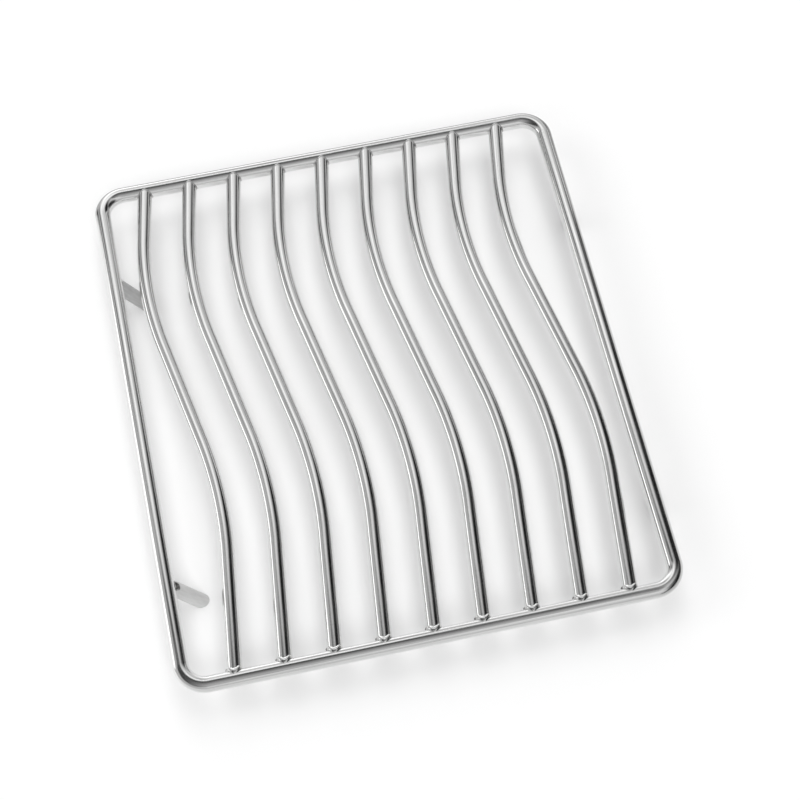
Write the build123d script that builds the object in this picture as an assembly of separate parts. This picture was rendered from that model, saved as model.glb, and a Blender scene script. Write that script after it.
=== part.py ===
import os
from math import atan, atan2, cos, hypot, tan

from build123d import *

# Driving dimensions, in millimetres

# Frame: one round rod bent into a closed rectangle, measured between centre lines
frame_rod_diameter = 8.0
frame_width = 240.0
frame_depth = 280.0
frame_bend_radius = 12.0
frame_height = 27.0          # from the ground to the rod's centre line

# Wave rods: identical S-bent rods that run from the rear rail to the front rail
wave_rod_diameter = 7.5
wave_count = 9
wave_side_gap = 5.5          # from a side rail to the corner of the nearest bend
rear_bend_inset = 64.0       # from the rear rail to the corner of the first bend
rear_bend_shift = 11.0       # how far that corner stands to the left of the rod's ends
rear_bend_radius = 190.0
front_bend_inset = 94.0      # from the front rail to the corner of the second bend
front_bend_shift = 10.5      # how far that corner stands to the right of the rod's ends
front_bend_radius = 225.0

# Legs: four leaning stubs under the side rails, cut level at the ground
leg_diameter = 7.5
leg_inset = 53.5             # from the front or rear rail to a leg
left_leg_reach = 14.0        # how far a left foot stands in from the left rail
right_leg_reach = 5.6        # how far a right foot stands out from the right rail

# Values that follow from the sizes above
half_width = frame_width / 2
half_depth = frame_depth / 2
frame_rod_radius = frame_rod_diameter / 2
leg_length = frame_height + leg_diameter
widest_shift = max(rear_bend_shift, front_bend_shift)
side_margin = widest_shift + wave_side_gap + (frame_rod_diameter + wave_rod_diameter) / 2
wave_pitch = (frame_width - 2 * side_margin) / (wave_count - 1)

# The right feet stand out past the frame, so the middle of the whole grate lies to the right of it
right_leg_lean = atan(right_leg_reach / frame_height)
right_foot_half = leg_diameter / 2 / cos(right_leg_lean)
right_overhang = right_leg_reach + right_foot_half - frame_rod_radius
to_middle = Pos(-max(right_overhang, 0) / 2, 0, 0)


def round_rod(path, diameter):
    """A round rod swept along a path."""
    section = Plane(origin=path @ 0, z_dir=path % 0) * Circle(diameter / 2)
    return sweep(section, path=path)


def cross_rail(y):
    """The frame rod's straight line along the rear or front rail."""
    return round_rod(Line((-half_width, y, frame_height), (half_width, y, frame_height)), frame_rod_diameter)


def side_rail(x):
    """The frame rod's straight line along the left or right rail."""
    return round_rod(Line((x, -half_depth, frame_height), (x, half_depth, frame_height)), frame_rod_diameter)


def make_frame():
    """The closed frame: half a loop, bent at two corners, and its mirror image."""
    path = FilletPolyline(
        (0, half_depth, frame_height),
        (half_width, half_depth, frame_height),
        (half_width, -half_depth, frame_height),
        (0, -half_depth, frame_height),
        radius=frame_bend_radius,
    )
    half = round_rod(path, frame_rod_diameter)
    return half + mirror(half, about=Plane.YZ)


def bend_radius(wanted, end_run, middle_run):
    """The wanted radius, or the largest that the two straight runs beside the bend leave room for."""
    run_share = 0.9
    turn = abs(atan2(*end_run) - atan2(*middle_run))
    room = run_share * min(hypot(*end_run), hypot(*middle_run) / 2)
    return min(wanted, room / tan(turn / 2))


def make_wave_rod(x):
    """One S-bent rod, with both ends coped to sit against the rails."""
    rear_run = (-rear_bend_shift, rear_bend_inset)
    front_run = (-front_bend_shift, front_bend_inset)
    middle_depth = frame_depth - rear_bend_inset - front_bend_inset
    middle_run = (rear_bend_shift + front_bend_shift, middle_depth)
    path = FilletPolyline(
        (x, half_depth, frame_height),
        (x - rear_bend_shift, half_depth - rear_bend_inset, frame_height),
        (x + front_bend_shift, front_bend_inset - half_depth, frame_height),
        (x, -half_depth, frame_height),
        radius=[
            bend_radius(rear_bend_radius, rear_run, middle_run),
            bend_radius(front_bend_radius, front_run, middle_run),
        ],
    )
    return round_rod(path, wave_rod_diameter) - cross_rail(half_depth) - cross_rail(-half_depth)


def make_leg(rail_x, foot_x, y):
    """One leaning stub, coped to the side rail above it and cut level at the ground."""
    lean = (foot_x - rail_x) / frame_height
    top = (rail_x, y, frame_height)
    bottom = (rail_x + lean * leg_length, y, frame_height - leg_length)
    leg = round_rod(Line(top, bottom), leg_diameter) - side_rail(rail_x)
    return split(leg, bisect_by=Plane.XY, keep=Keep.TOP)


def make_parts():
    """Every piece of the grate by name."""
    parts = {"frame_rod": make_frame()}
    first_x = -wave_pitch * (wave_count - 1) / 2
    for number in range(wave_count):
        parts[f"wave_rod_{number + 1}"] = make_wave_rod(first_x + wave_pitch * number)
    for place, y in (("rear", half_depth - leg_inset), ("front", leg_inset - half_depth)):
        parts[f"leg_{place}_left"] = make_leg(-half_width, left_leg_reach - half_width, y)
        parts[f"leg_{place}_right"] = make_leg(half_width, half_width + right_leg_reach, y)
    return parts


os.makedirs("parts", exist_ok=True)
for name, part in make_parts().items():
    export_step(to_middle * part, f"parts/{name}.step")
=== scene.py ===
import math

import bmesh
import bpy
from mathutils import Matrix, Quaternion, Vector, noise


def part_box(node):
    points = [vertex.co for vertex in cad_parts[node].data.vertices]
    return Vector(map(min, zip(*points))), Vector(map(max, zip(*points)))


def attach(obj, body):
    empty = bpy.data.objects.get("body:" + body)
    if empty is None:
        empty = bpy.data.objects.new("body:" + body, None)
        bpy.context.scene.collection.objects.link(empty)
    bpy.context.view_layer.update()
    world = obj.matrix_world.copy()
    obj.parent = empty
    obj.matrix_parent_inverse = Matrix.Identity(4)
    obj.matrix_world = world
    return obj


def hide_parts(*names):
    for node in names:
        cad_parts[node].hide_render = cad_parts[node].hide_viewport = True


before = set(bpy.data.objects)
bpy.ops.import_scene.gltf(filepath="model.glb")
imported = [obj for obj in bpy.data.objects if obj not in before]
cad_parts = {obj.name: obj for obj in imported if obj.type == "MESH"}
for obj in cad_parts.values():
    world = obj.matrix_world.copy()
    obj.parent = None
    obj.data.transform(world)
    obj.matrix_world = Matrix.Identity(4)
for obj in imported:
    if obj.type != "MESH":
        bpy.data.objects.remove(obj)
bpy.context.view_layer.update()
print("stage: frame loaded,", len(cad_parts), "CAD nodes")

mm = 0.001
scene = bpy.context.scene
upright = Vector((0, 0, 1))

# the grate's own sizes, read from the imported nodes
frameLow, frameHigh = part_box("frame_rod")
railRadius = (frameHigh.z - frameLow.z) / 2
rodLevel = (frameHigh.z + frameLow.z) / 2
leftRail, rightRail = frameLow.x + railRadius, frameHigh.x - railRadius
frontRail, rearRail = frameLow.y + railRadius, frameHigh.y - railRadius
middleX = (leftRail + rightRail) / 2
waveNames = sorted(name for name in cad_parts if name.startswith("wave_rod"))
legNames = sorted(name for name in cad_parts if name.startswith("leg"))
waveLow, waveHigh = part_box(waveNames[0])
waveRadius = (waveHigh.z - waveLow.z) / 2
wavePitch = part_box(waveNames[1])[0].x - waveLow.x


# materials

def newMaterial(name):
    material = bpy.data.materials.new(name)
    material.use_nodes = True
    nodes = material.node_tree.nodes
    return material, nodes, material.node_tree.links, nodes["Principled BSDF"]


def noiseNode(nodes, links, vector, scale, detail=3.0):
    node = nodes.new("ShaderNodeTexNoise")
    node.inputs["Scale"].default_value = scale
    node.inputs["Detail"].default_value = detail
    links.new(vector, node.inputs["Vector"])
    return node.outputs["Fac"]


def rampNode(nodes, links, value, fromMin, fromMax, toMin, toMax, kind="LINEAR"):
    node = nodes.new("ShaderNodeMapRange")
    node.interpolation_type = kind
    for socket, number in zip(("From Min", "From Max", "To Min", "To Max"), (fromMin, fromMax, toMin, toMax)):
        node.inputs[socket].default_value = number
    links.new(value, node.inputs["Value"])
    return node.outputs["Result"]


def mathNode(nodes, links, operation, first, second=None):
    node = nodes.new("ShaderNodeMath")
    node.operation = operation
    for socket, value in zip(node.inputs, (first, second)):
        if isinstance(value, bpy.types.NodeSocket):
            links.new(value, socket)
        elif value is not None:
            socket.default_value = value
    return node.outputs["Value"]


def straightCoords(nodes, links, stretch):
    # where a point would lie if the rod were straightened out, squeezed along its length
    straight = nodes.new("ShaderNodeAttribute")
    straight.attribute_name = "straight"
    mapping = nodes.new("ShaderNodeMapping")
    mapping.inputs["Scale"].default_value = (1, 1, stretch)
    links.new(straight.outputs["Vector"], mapping.inputs["Vector"])
    return mapping.outputs["Vector"]


def paintTone(nodes, links, shader, share, first, second):
    tone = nodes.new("ShaderNodeMix")
    tone.data_type = "RGBA"
    tone.inputs["A"].default_value = first
    tone.inputs["B"].default_value = second
    links.new(share, tone.inputs["Factor"])
    links.new(tone.outputs["Result"], shader.inputs["Base Color"])


def raiseGrain(nodes, links, shader, height, depth):
    bump = nodes.new("ShaderNodeBump")
    bump.inputs["Distance"].default_value = depth
    links.new(height, bump.inputs["Height"])
    links.new(bump.outputs["Normal"], shader.inputs["Normal"])


def spreadNoise(nodes, links, value, toMin, toMax):
    # nearly all of a noise lies between 0.3 and 0.7
    return rampNode(nodes, links, value, 0.3, 0.7, toMin, toMax)


steelLook = {
    "dark": (0.70, 0.70, 0.70, 1), "light": (0.83, 0.83, 0.825, 1),
    "lineScale": 2600.0,       # drawing lines across the rod, about 0.4 mm apart
    "lineStretch": 0.012,      # how far a line runs along the rod
    "smudgeScale": 90.0, "smudgeStretch": 0.3,
    "roughLow": 0.10, "roughHigh": 0.22,
    "lineRoughLow": 0.75, "lineRoughHigh": 1.25,      # how much smoother and rougher the lines are
    "bumpDepth": 0.010 * mm,
}


def polishedSteel():
    look = steelLook
    material, nodes, links, shader = newMaterial("polishedSteel")
    lineVector = straightCoords(nodes, links, look["lineStretch"])
    lines = noiseNode(nodes, links, lineVector, look["lineScale"], 4.0)
    smudgeVector = straightCoords(nodes, links, look["smudgeStretch"])
    smudge = noiseNode(nodes, links, smudgeVector, look["smudgeScale"])
    paintTone(nodes, links, shader, spreadNoise(nodes, links, lines, 0, 1), look["dark"], look["light"])
    lineRough = spreadNoise(nodes, links, lines, look["lineRoughLow"], look["lineRoughHigh"])
    smudgeRough = spreadNoise(nodes, links, smudge, look["roughLow"], look["roughHigh"])
    links.new(mathNode(nodes, links, "MULTIPLY", lineRough, smudgeRough), shader.inputs["Roughness"])
    raiseGrain(nodes, links, shader, lines, look["bumpDepth"])
    shader.inputs["Metallic"].default_value = 1.0
    return material


legLook = {
    "dark": (0.34, 0.34, 0.34, 1), "light": (0.69, 0.69, 0.685, 1),
    "metal": 0.4,              # the rest is a pale film of oxide
    "grain": 0.3,              # most that the grain adds of the light tone
    "paintedFrontLight": 0.9,              # painted light: how much more of the light tone a leg has at the front, where more light falls on it
    "grainScale": 900.0, "grainStretch": 0.2,
    "roughLow": 0.38, "roughHigh": 0.55, "bumpDepth": 0.02 * mm,
}


def dullSteel():
    look = legLook
    material, nodes, links, shader = newMaterial("dullSteel")
    grainVector = straightCoords(nodes, links, look["grainStretch"])
    grain = noiseNode(nodes, links, grainVector, look["grainScale"], 5.0)
    coords = nodes.new("ShaderNodeTexCoord")
    split = nodes.new("ShaderNodeSeparateXYZ")
    links.new(coords.outputs["Object"], split.inputs["Vector"])
    # painted light and shade: the legs' base colour is lighter at the front and darker at the rear, standing
    # in for how light falls on them; the grain is added on top
    paintedFrontLight = rampNode(nodes, links, split.outputs["Y"], rearRail, frontRail, 0, look["paintedFrontLight"])
    pale = mathNode(nodes, links, "ADD", paintedFrontLight, spreadNoise(nodes, links, grain, 0, look["grain"]))
    paintTone(nodes, links, shader, pale, look["dark"], look["light"])
    rough = spreadNoise(nodes, links, grain, look["roughLow"], look["roughHigh"])
    links.new(rough, shader.inputs["Roughness"])
    raiseGrain(nodes, links, shader, grain, look["bumpDepth"])
    shader.inputs["Metallic"].default_value = look["metal"]
    return material


weldLook = {
    "clean": (0.80, 0.80, 0.795, 1), "burnt": (0.10, 0.095, 0.09, 1),
    "patchScale": 900.0, "patchLow": 0.5, "patchHigh": 1.2,      # how much less and more a patch is burnt
    "roughClean": 0.22, "roughBurnt": 0.5, "bumpDepth": 0.04 * mm,
}


def weldSteel():
    look = weldLook
    material, nodes, links, shader = newMaterial("weldSteel")
    coords = nodes.new("ShaderNodeTexCoord")
    patch = noiseNode(nodes, links, coords.outputs["Object"], look["patchScale"], 4.0)
    burn = nodes.new("ShaderNodeAttribute")
    burn.attribute_name = "burn"
    patches = rampNode(nodes, links, patch, 0.3, 0.6, look["patchLow"], look["patchHigh"])
    speckle = mathNode(nodes, links, "MULTIPLY", burn.outputs["Fac"], patches)
    burnt = rampNode(nodes, links, speckle, 0, 1, 0, 1)
    paintTone(nodes, links, shader, burnt, look["clean"], look["burnt"])
    rough = rampNode(nodes, links, burnt, 0, 1, look["roughClean"], look["roughBurnt"])
    links.new(rough, shader.inputs["Roughness"])
    raiseGrain(nodes, links, shader, patch, look["bumpDepth"])
    shader.inputs["Metallic"].default_value = 1.0
    return material


rodMaterial = polishedSteel()
legMaterial = dullSteel()
weldMaterial = weldSteel()
print("stage: materials made")


def makePiece(bm, name, material):
    bmesh.ops.remove_doubles(bm, verts=bm.verts, dist=0.01 * mm)
    bmesh.ops.recalc_face_normals(bm, faces=bm.faces)
    for face in bm.faces:
        face.smooth = len(face.verts) == 4
    mesh = bpy.data.meshes.new(name)
    bm.to_mesh(mesh)
    bm.free()
    mesh.materials.append(material)
    piece = bpy.data.objects.new(name, mesh)
    scene.collection.objects.link(piece)
    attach(piece, "root")
    return piece


# rods: a ring is pushed along runs and spun round bends

class RodMaker:
    def __init__(self, start, heading, radius, sides):
        self.bm = bmesh.new()
        self.straight = self.bm.verts.layers.float_vector.new("straight")
        self.heading = Vector(heading).normalized()
        self.place = Vector(start)
        self.along = 0.0
        self.ring = bmesh.ops.create_circle(self.bm, cap_ends=False, segments=sides, radius=radius)["verts"]
        for vert in self.ring:
            vert[self.straight] = vert.co
        turn = self.heading.to_track_quat("Z", "Y").to_matrix().to_4x4()
        bmesh.ops.transform(self.bm, matrix=Matrix.Translation(self.place) @ turn, verts=self.ring)
        self.firstRing = list(self.ring)

    def edgesWithin(self, verts):
        inside = set(verts)
        return list({edge for vert in verts for edge in vert.link_edges if edge.other_vert(vert) in inside})

    def takeRing(self, verts, length):
        self.along += length
        self.ring = verts
        for vert in verts:
            vert[self.straight].z = self.along

    def run(self, length):
        made = bmesh.ops.extrude_edge_only(self.bm, edges=self.edgesWithin(self.ring))["geom"]
        verts = [item for item in made if isinstance(item, bmesh.types.BMVert)]
        bmesh.ops.translate(self.bm, vec=self.heading * length, verts=verts)
        self.place += self.heading * length
        self.takeRing(verts, length)

    def bend(self, angle, radius, steps):
        # turns left about a vertical axis for a positive angle
        side = upright.cross(self.heading) * math.copysign(1, angle)
        centre = self.place + side * radius
        step = angle / steps
        for number in range(steps):
            edges = self.edgesWithin(self.ring)
            turned = bmesh.ops.spin(self.bm, geom=edges, cent=centre, axis=upright, angle=step, steps=1)
            verts = [item for item in turned["geom_last"] if isinstance(item, bmesh.types.BMVert)]
            self.takeRing(verts, abs(step) * radius)
        turn = Matrix.Rotation(angle, 3, "Z")
        self.place = centre + turn @ (self.place - centre)
        self.heading = turn @ self.heading

    def seat(self, verts, faceOf):
        # slides a ring's points along the rod until they lie on the surface it meets
        for vert in verts:
            slide = faceOf(vert.co)
            vert.co += self.heading * slide
            vert[self.straight].z += slide

    def cap(self, verts):
        edges = self.edgesWithin(verts)
        bmesh.ops.edgeloop_fill(self.bm, edges=edges)
        for edge in edges:
            edge.smooth = False

    def finish(self, name, material):
        return makePiece(self.bm, name, material)


frameRod = {"sides": 64, "bendRadius": 12 * mm, "bendSteps": 24, "seamLength": 0.6 * mm}


def makeFrame():
    size = frameRod
    radius = size["bendRadius"]
    width, depth = rightRail - leftRail, rearRail - frontRail
    rod = RodMaker((middleX, rearRail, rodLevel), (1, 0, 0), railRadius, size["sides"])
    for number, length in enumerate((width / 2, depth, width, depth)):
        rod.run(length - (radius if number == 0 else 2 * radius))
        rod.bend(-math.pi / 2, radius, size["bendSteps"])
    rod.run(width / 2 - radius - size["seamLength"])
    rod.run(size["seamLength"])
    piece = rod.finish("frame_loop", rodMaterial)
    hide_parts("frame_rod")


waveRod = {
    "sides": 48, "bendSteps": 40,
    "rearInset": 64 * mm, "rearShift": 11 * mm, "rearRadius": 190 * mm,
    "frontInset": 94 * mm, "frontShift": 10.5 * mm, "frontRadius": 225 * mm,
}


def makeWaveRod(number, name):
    size = waveRod
    endX = middleX + (number - (len(waveNames) - 1) / 2) * wavePitch
    corners = [
        Vector((endX, rearRail, rodLevel)),
        Vector((endX - size["rearShift"], rearRail - size["rearInset"], rodLevel)),
        Vector((endX + size["frontShift"], frontRail + size["frontInset"], rodLevel)),
        Vector((endX, frontRail, rodLevel)),
    ]
    runs = [after - before for before, after in zip(corners, corners[1:])]
    turns = [-before.xy.angle_signed(after.xy) for before, after in zip(runs, runs[1:])]
    radii = [size["rearRadius"], size["frontRadius"]]
    cuts = [radius * math.tan(abs(turn) / 2) for radius, turn in zip(radii, turns)]
    rod = RodMaker(corners[0], runs[0], waveRadius, size["sides"])

    def atRear(point, heading):
        return toRail(point, rearRail, heading)

    def atFront(point, heading):
        return toRail(point, frontRail, heading)

    rod.seat(rod.firstRing, lambda point: atRear(point, rod.heading))
    rod.run(runs[0].length - cuts[0])
    rod.bend(turns[0], radii[0], size["bendSteps"])
    rod.run(runs[1].length - cuts[0] - cuts[1])
    rod.bend(turns[1], radii[1], size["bendSteps"])
    rod.run(runs[2].length - cuts[1])
    rod.seat(rod.ring, lambda point: atFront(point, rod.heading))
    rod.cap(rod.firstRing)
    rod.cap(rod.ring)
    piece = rod.finish("rod_" + str(number + 1), rodMaterial)
    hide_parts(name)
    joints["rear_welds"].append((corners[0], runs[0].normalized(), waveRadius, atRear, across, across))
    joints["front_welds"].append((corners[3], runs[2].normalized(), waveRadius, atFront, across, -across))


def toRail(point, railY, heading):
    # how far a point slides along the heading to reach the near side of a cross rail
    rise = point.z - rodLevel
    inward = math.copysign(1, -railY)
    faceY = railY + inward * math.sqrt(railRadius ** 2 - rise ** 2)
    return (faceY - point.y) / heading.y


legRod = {"sides": 48, "startTurn": 0.3}      # how far the weld's start lies in front of a leg's upper side


def makeLeg(name):
    low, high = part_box(name)
    onLeft = (low.x + high.x) / 2 < middleX
    railX = leftRail if onLeft else rightRail
    legY = (low.y + high.y) / 2
    radius = (high.y - low.y) / 2
    top = Vector((railX, legY, rodLevel))
    foot = Vector((legFoot(high.x, railX, radius), legY, 0))
    rod = RodMaker(top, foot - top, radius, legRod["sides"])

    def atRail(point, heading):
        return underRail(point, railX, heading)

    rod.seat(rod.firstRing, lambda point: atRail(point, rod.heading))
    rod.run((foot - top).length)
    rod.seat(rod.ring, lambda point: -point.z / rod.heading.z)
    rod.cap(rod.firstRing)
    rod.cap(rod.ring)
    piece = rod.finish(name.replace("leg_", "stub_"), legMaterial)
    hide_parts(name)
    down = (foot - top).normalized()
    upperSide = (down.cross(toRear) - toRear * legRod["startTurn"]).normalized()
    startSide = upperSide if onLeft and legY < 0 else toRear
    joints["leg_welds"].append((top, down, radius, atRail, toRear, startSide))


def legFoot(rightEdge, railX, radius):
    # x of the foot's middle: every leg leans to the right, so its rightmost point is its level foot's edge
    lean = math.atan2(rightEdge - railX - radius, rodLevel)
    return rightEdge - radius / math.cos(lean)


def underRail(point, railX, heading):
    # how far a point slides down the leg to reach the underside of a side rail
    gap = Vector((point.x - railX, point.z - rodLevel))
    down = Vector((heading.x, heading.z))
    along = gap.dot(down) / down.length_squared
    miss = gap.length_squared - along ** 2 * down.length_squared
    return -along + math.sqrt(max(railRadius ** 2 - miss, 0) / down.length_squared)


joints = {"rear_welds": [], "front_welds": [], "leg_welds": []}
across, toRear = Vector((1, 0, 0)), Vector((0, 1, 0))
makeFrame()
for number, name in enumerate(waveNames):
    makeWaveRod(number, name)
for name in legNames:
    makeLeg(name)
print("stage: rods and legs made")


# welds: a small bead round every joint, laid on the saddle where the two rods meet

weldBead = {
    "sides": 12, "steps": 48, "sunk": 0.2 * mm,
    "ripple": 0.2, "rippleScale": 1300.0,
    "burnStart": 0.45, "burnFull": 0.85,      # how far to the side of the joint the bead is burnt dark
    "topStart": 0.3, "topFull": 0.9,          # how far up its top begins
    "blobStart": 0.84, "blobBurn": 1.5,       # how near to the weld's start its blob begins, and how dark
}
# the bead's thickness and the share of it on the flanks; how many times longer its top is along the rod, and
# how far along the rod that lies; how dark the flanks are burnt; and the blob where the weld was started: how
# much thicker it is and how far it runs out
weldKinds = {
    "rear_welds": {
        "thick": 0.55 * mm, "flank": 1.0, "long": 1.0, "along": 0.0,
        "burn": 0.3, "blob": 0.3, "runOut": 0.2 * mm,
    },
    "front_welds": {
        "thick": 0.9 * mm, "flank": 0.3, "long": 1.9, "along": -0.9 * mm,
        "burn": 0.2, "blob": 0.7, "runOut": -0.5 * mm,
    },
    "leg_welds": {
        "thick": 0.55 * mm, "flank": 1.0, "long": 1.0, "along": 0.0,
        "burn": 0.8, "blob": 1.6, "runOut": 2.1 * mm,
    },
}


def addBead(bm, burn, joint, kind):
    place, heading, radius, slideOf, burntSide, blobSide = joint
    size = weldBead
    ring = bmesh.ops.create_circle(bm, cap_ends=False, segments=size["sides"], radius=kind["thick"])["verts"]
    upended = Matrix.Translation((radius - size["sunk"], 0, 0)) @ Matrix.Rotation(math.pi / 2, 4, "X")
    bmesh.ops.transform(bm, matrix=upended, verts=ring)
    edges = list({edge for vert in ring for edge in vert.link_edges})
    before = set(bm.verts) - set(ring)
    bmesh.ops.spin(bm, geom=ring + edges, cent=(0, 0, 0), axis=(0, 0, 1), angle=2 * math.pi,
                   steps=size["steps"], use_merge=True)
    turn = heading.to_track_quat("Z", "Y").to_matrix()
    for vert in [vert for vert in bm.verts if vert not in before]:
        outward = Vector((vert.co.x, vert.co.y, 0)).normalized()
        middle = outward * (radius - size["sunk"])
        facing = turn @ outward
        blob = smoothStep(facing.dot(blobSide), size["blobStart"], 1)
        wave = noise.noise((place + turn @ vert.co) * size["rippleScale"])
        top = smoothStep(facing.z, size["topStart"], size["topFull"])
        bulk = kind["flank"] + (1 - kind["flank"]) * top
        lump = (vert.co - middle) * (bulk + wave * size["ripple"] + blob * kind["blob"])
        lump.z *= 1 + (kind["long"] - 1) * top
        flank = smoothStep(abs(facing.dot(burntSide)), size["burnStart"], size["burnFull"])
        vert[burn] = max(flank * kind["burn"], blob * min(kind["blob"] * size["blobBurn"], 1))
        slide = slideOf(place + facing * radius, heading) + kind["along"] * top + blob * kind["runOut"]
        vert.co = place + turn @ (middle + lump) + heading * slide


def smoothStep(value, low, high):
    part = min(max((value - low) / (high - low), 0), 1)
    return part * part * (3 - 2 * part)


for name, group in joints.items():
    bm = bmesh.new()
    burn = bm.verts.layers.float.new("burn")
    for joint in group:
        addBead(bm, burn, joint, weldKinds[name])
    makePiece(bm, name, weldMaterial)
print("stage: welds made")


# studio: floor, lights, room and camera

def plainPlane(name, width, height, place, facing, material):
    bm = bmesh.new()
    bmesh.ops.create_grid(bm, x_segments=1, y_segments=1, size=0.5)
    turn = Vector(facing).to_track_quat("Z", "Y").to_matrix().to_4x4()
    shape = Matrix.Translation(place) @ turn @ Matrix.Diagonal((width, height, 1, 1))
    bmesh.ops.transform(bm, matrix=shape, verts=bm.verts)
    mesh = bpy.data.meshes.new(name)
    bm.to_mesh(mesh)
    bm.free()
    mesh.materials.append(material)
    plane = bpy.data.objects.new(name, mesh)
    scene.collection.objects.link(plane)
    return plane


def compass(around, up):
    around, up = math.radians(around), math.radians(up)
    return Vector((math.sin(around) * math.cos(up), math.cos(around) * math.cos(up), math.sin(up)))


def shareAlong(nodes, links, vector, direction):
    share = nodes.new("ShaderNodeVectorMath")
    share.operation = "DOT_PRODUCT"
    share.inputs[1].default_value = direction
    links.new(vector, share.inputs[0])
    return share.outputs["Value"]


floorLook = {"size": 8.0, "white": 0.93, "rough": 0.9, "gloss": 0.1}
# the floor as the steel mirrors it, with painted shade: white under the grate, greyer a little way outside it
# on three sides, standing in for the shadowed floor that the rods and rails mirror; the grey behind it ends
# on the left along a line that slants away from the rear left corner
mirrorFloor = {
    "white": 0.98, "right": 0.74, "front": 0.74, "rear": 0.5,
    "slant": 32, "fade": 40 * mm, "gap": 0.2 * mm,
}


def dullFloor(name):
    material, nodes, links, shader = newMaterial(name)
    shader.inputs["Roughness"].default_value = floorLook["rough"]
    shader.inputs["Specular IOR Level"].default_value = floorLook["gloss"]
    return material, nodes, links, shader


def floorMaterial():
    material, nodes, links, shader = dullFloor("paleFloor")
    white = floorLook["white"]
    shader.inputs["Base Color"].default_value = (white, white, white, 1)
    return material


def fadeOut(nodes, links, place, direction, start, tone):
    distance = shareAlong(nodes, links, place, direction)
    return rampNode(nodes, links, distance, start, start + mirrorFloor["fade"], 1, tone)


def mirrorFloorMaterial():
    material, nodes, links, shader = dullFloor("mirroredFloorPaintedShade")
    coords = nodes.new("ShaderNodeTexCoord")
    place, halfFade = coords.outputs["Object"], mirrorFloor["fade"] / 2
    # painted shade: the mirrored floor greys towards the right, towards the front and behind the rear rail
    toRight = fadeOut(nodes, links, place, across, rightRail, mirrorFloor["right"])
    toFront = fadeOut(nodes, links, place, -toRear, -frontRail, mirrorFloor["front"])
    slant = compass(mirrorFloor["slant"], 0)
    corner = slant.dot((leftRail - halfFade, rearRail, 0))
    pastCorner = shareAlong(nodes, links, place, slant)
    greyRear = rampNode(nodes, links, pastCorner, corner, corner + halfFade, 0, 1 - mirrorFloor["rear"])
    pastRear = shareAlong(nodes, links, place, toRear)
    behind = rampNode(nodes, links, pastRear, rearRail, rearRail + halfFade, 0, 1)
    towardsRear = mathNode(nodes, links, "SUBTRACT", 1, mathNode(nodes, links, "MULTIPLY", greyRear, behind))
    tone = mathNode(nodes, links, "MULTIPLY", toRight, mirrorFloor["white"])
    for part in (toFront, towardsRear):
        tone = mathNode(nodes, links, "MULTIPLY", tone, part)
    links.new(tone, shader.inputs["Base Color"])
    return material


def onlyMirrored(thing):
    thing.visible_camera = False
    thing.visible_diffuse = False
    thing.visible_shadow = False


def makeFloors():
    size = floorLook["size"]
    plainPlane("floor", size, size, (0, 0, 0), upright, floorMaterial())
    place = (0, 0, mirrorFloor["gap"])
    onlyMirrored(plainPlane("mirrorFloor", size, size, place, upright, mirrorFloorMaterial()))


makeFloors()

# soft lights on the floor, each with its direction (from the rear round to the right, then up) and its width
# in degrees, and the share of the floor's brightness that it gives
floorLights = {
    "frontLight": (180, 56, 24, 0.19),
    "topLight": (0, 89, 36, 0.125),
    "rearHighLight": (5, 72, 36, 0.10),
    "rearLight": (0, 50, 30, 0.04),
    "leftLight": (-82, 44, 30, 0.08),
    "frontLeftLight": (-132, 44, 30, 0.055),
}


def softLight(name, around, up, width, share):
    light = bpy.data.lights.new(name, "SUN")
    light.angle = math.radians(width)
    towards = compass(around, up)
    light.energy = share * math.pi / (floorLook["white"] * towards.z)
    lamp = bpy.data.objects.new(name, light)
    lamp.location = towards
    lamp.rotation_euler = towards.to_track_quat("Z", "Y").to_euler()
    lamp.visible_glossy = False
    scene.collection.objects.link(lamp)


for name, light in floorLights.items():
    softLight(name, *light)

# what the steel mirrors: soft patches on the inside of a grey tent, each with its direction, half width and
# softness in degrees, and how much it adds
tentLook = {"radius": 2.5, "fineness": 5, "grey": 0.526, "darkest": 0.01}
tentPatches = {
    "leftLight": (-68, 8.1, 13.5, 2, 1.8),
    "rearLight": (10.5, 30.8, 36.3, 10.4, 1.61),
    "rightLight": (55.3, 16.4, 5.2, 10.5, 1.79),
    "frontLight": (175, 48.7, 20.9, 38.7, 0.59),
    "rightDark": (31.3, 32, 31.9, 19.2, -1.49),
    "frontDark": (225.5, 64.7, 39.9, 2, -0.47),
    "leftFrame": (-63, 2.8, 20.9, 2.2, -0.53),
    "rearDark": (-18, 38, 21.5, 4.5, -0.61),
    "rightCornerDark": (112, 20, 28, 10, -0.5),
}
# a low black card that hangs to the right of the grate: how far from its middle, where its front, rear, upper
# and lower edges lie, how soft they look, and how much it covers
darkCard = {
    "distance": 211 * mm, "front": -500 * mm, "rear": 131 * mm, "rearSoft": 6 * mm,
    "top": 47 * mm, "topSoft": 10 * mm, "bottom": 4 * mm, "bottomSoft": 4 * mm,
    "black": 0.01, "cover": 0.86,
}
roomLook = {"ambient": 0.462, "seen": 1.0}      # light from all round on the floor, and what the camera sees


def patchNode(nodes, links, sight, patch):
    around, up, half, soft, strength = patch
    offAim = mathNode(nodes, links, "ARCCOSINE", shareAlong(nodes, links, sight, compass(around, up)))
    start, end = math.radians(half + soft), math.radians(half - soft)
    return rampNode(nodes, links, offAim, start, end, 0, strength, "SMOOTHSTEP")


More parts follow.
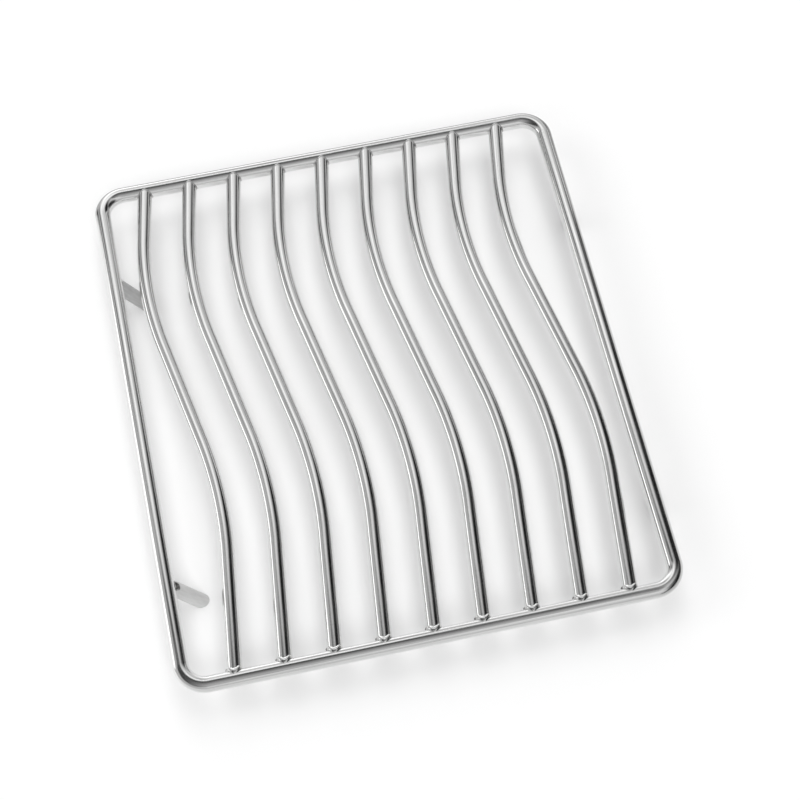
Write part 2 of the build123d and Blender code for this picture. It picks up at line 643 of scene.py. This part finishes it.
def tentMaterial():
    material, nodes, links, shader = newMaterial("tentInside")
    nodes.remove(shader)
    coords = nodes.new("ShaderNodeTexCoord")
    sight = nodes.new("ShaderNodeVectorMath")
    sight.operation = "NORMALIZE"
    links.new(coords.outputs["Object"], sight.inputs[0])
    glow = tentLook["grey"]
    for patch in tentPatches.values():
        glow = mathNode(nodes, links, "ADD", patchNode(nodes, links, sight.outputs["Vector"], patch), glow)
    glow = mathNode(nodes, links, "MAXIMUM", glow, tentLook["darkest"])
    emission = nodes.new("ShaderNodeEmission")
    links.new(glow, emission.inputs["Strength"])
    links.new(emission.outputs["Emission"], nodes["Material Output"].inputs["Surface"])
    material.cycles.emission_sampling = "NONE"
    return material


def makeTent():
    bm = bmesh.new()
    bmesh.ops.create_icosphere(bm, subdivisions=tentLook["fineness"], radius=tentLook["radius"])
    mesh = bpy.data.meshes.new("tent")
    bm.to_mesh(mesh)
    bm.free()
    mesh.materials.append(tentMaterial())
    tent = bpy.data.objects.new("tent", mesh)
    tent.location = (middleX, 0, rodLevel)
    scene.collection.objects.link(tent)
    onlyMirrored(tent)


def cardMaterial():
    card = darkCard
    material, nodes, links, shader = newMaterial("blackCard")
    coords = nodes.new("ShaderNodeTexCoord")
    split = nodes.new("ShaderNodeSeparateXYZ")
    links.new(coords.outputs["Object"], split.inputs["Vector"])
    cover = card["cover"]
    for axis, edge, soft in (
        ("Y", card["rear"], card["rearSoft"]),
        ("Z", rodLevel + card["top"], card["topSoft"]),
        ("Z", rodLevel + card["bottom"], -card["bottomSoft"]),
    ):
        share = rampNode(nodes, links, split.outputs[axis], edge + soft, edge - soft, 0, 1, "SMOOTHSTEP")
        cover = mathNode(nodes, links, "MULTIPLY", share, cover)
    links.new(cover, shader.inputs["Alpha"])
    shader.inputs["Base Color"].default_value = (card["black"], card["black"], card["black"], 1)
    shader.inputs["Specular IOR Level"].default_value = 0
    return material


def makeCard():
    card = darkCard
    rear, top = card["rear"] + card["rearSoft"], rodLevel + card["top"] + card["topSoft"]
    place = (middleX + card["distance"], (card["front"] + rear) / 2, top / 2)
    onlyMirrored(plainPlane("blackCard", rear - card["front"], top, place, -across, cardMaterial()))


def makeRoom():
    world = bpy.data.worlds.new("room")
    world.use_nodes = True
    nodes, links = world.node_tree.nodes, world.node_tree.links
    paths = nodes.new("ShaderNodeLightPath")
    seen = rampNode(nodes, links, paths.outputs["Is Camera Ray"], 0, 1, roomLook["ambient"], roomLook["seen"])
    background = nodes["Background"]
    background.inputs["Color"].default_value = (1, 1, 1, 1)
    links.new(seen, background.inputs["Strength"])
    scene.world = world


makeTent()
makeCard()
makeRoom()

cameraLook = {
    "place": (-0.07425, -0.47094, 0.90856), "target": (0.00768, -0.01287, 0.027),
    "roll": math.radians(-2.241), "lens": 89.38, "sensor": 36.0,
}


def makeCamera():
    look = cameraLook
    data = bpy.data.cameras.new("camera")
    data.lens = look["lens"]
    data.sensor_width = look["sensor"]
    camera = bpy.data.objects.new("camera", data)
    sight = Vector(look["target"]) - Vector(look["place"])
    camera.location = look["place"]
    camera.rotation_mode = "QUATERNION"
    camera.rotation_quaternion = sight.to_track_quat("-Z", "Y") @ Quaternion((0, 0, 1), look["roll"])
    scene.collection.objects.link(camera)
    scene.camera = camera


makeCamera()
scene.view_settings.view_transform = "Standard"
print("stage: studio ready")
